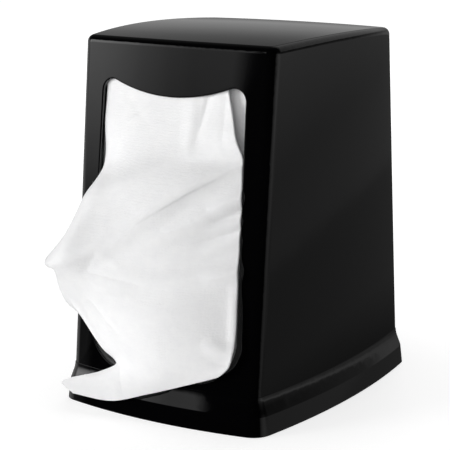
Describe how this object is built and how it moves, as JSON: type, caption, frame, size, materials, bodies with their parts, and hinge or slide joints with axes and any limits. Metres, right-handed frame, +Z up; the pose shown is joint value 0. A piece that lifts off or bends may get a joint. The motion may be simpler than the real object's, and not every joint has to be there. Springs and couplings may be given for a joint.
{
  "type": "napkin dispenser",
  "caption": "Table-top napkin dispenser: a leaning, bowed plastic cover with a window front and rear lifts off a base tray whose sprung followers press two stacks of folded napkins forward.",
  "frame": {"origin": "on the table, under the middle of the base; the four foot pads stand at z = 0", "axes": "+Z up, the front window faces -Y, the rear window faces +Y, +X is the right side seen from the front"},
  "size_m": [0.1078, 0.1516, 0.1544],
  "materials": {
    "cover_black": "gloss",
    "inner_black": "satin",
    "latch_grey": "satin",
    "spring_steel": "satin",
    "screw_steel": "satin",
    "foot_rubber": "matte",
    "napkin_paper": "matte"
  },
  "bodies": {
    "base": {"base_tray": "inner_black", "spine_plate": "inner_black", "spine_screws": "screw_steel", "latch_keeper": "inner_black", "keeper_screws": "screw_steel", "foot_front_left": "foot_rubber", "foot_front_right": "foot_rubber", "foot_rear_left": "foot_rubber", "foot_rear_right": "foot_rubber", "front_upper_spring": "spring_steel", "front_lower_spring": "spring_steel", "rear_upper_spring": "spring_steel", "rear_lower_spring": "spring_steel", "latch_spring_left": "spring_steel", "latch_spring_right": "spring_steel"},
    "cover": {"cover_shell": "cover_black", "drawn_napkin": "napkin_paper"},
    "front_follower": {"front_follower": "inner_black", "front_napkin_stack": "napkin_paper"},
    "rear_follower": {"rear_follower": "inner_black", "rear_napkin_stack": "napkin_paper"},
    "latch_right": {"latch_slider_right": "latch_grey"},
    "latch_left": {"latch_slider_left": "latch_grey"}
  },
  "joints": [
    {"name": "cover_lift", "type": "slide", "parent": "base", "child": "cover", "axis": [0, 0, 1], "range_m": [0, 0.16]},
    {"name": "front_follower_slide", "type": "slide", "parent": "base", "child": "front_follower", "axis": [0, 1, 0], "range_m": [0, 0.013], "stiffness_N_per_m": 80, "springref_m": -0.03, "deforming": ["front_upper_spring", "front_lower_spring"]},
    {"name": "rear_follower_slide", "type": "slide", "parent": "base", "child": "rear_follower", "axis": [0, -1, 0], "range_m": [0, 0.013], "stiffness_N_per_m": 80, "springref_m": -0.03, "deforming": ["rear_upper_spring", "rear_lower_spring"]},
    {"name": "latch_right_slide", "type": "slide", "parent": "base", "child": "latch_right", "axis": [-1, 0, 0], "range_m": [0, 0.0025], "stiffness_N_per_m": 200, "springref_m": -0.004, "deforming": ["latch_spring_right"]},
    {"name": "latch_left_slide", "type": "slide", "parent": "base", "child": "latch_left", "axis": [1, 0, 0], "range_m": [0, 0.0025], "stiffness_N_per_m": 200, "springref_m": -0.004, "deforming": ["latch_spring_left"]}
  ]
}
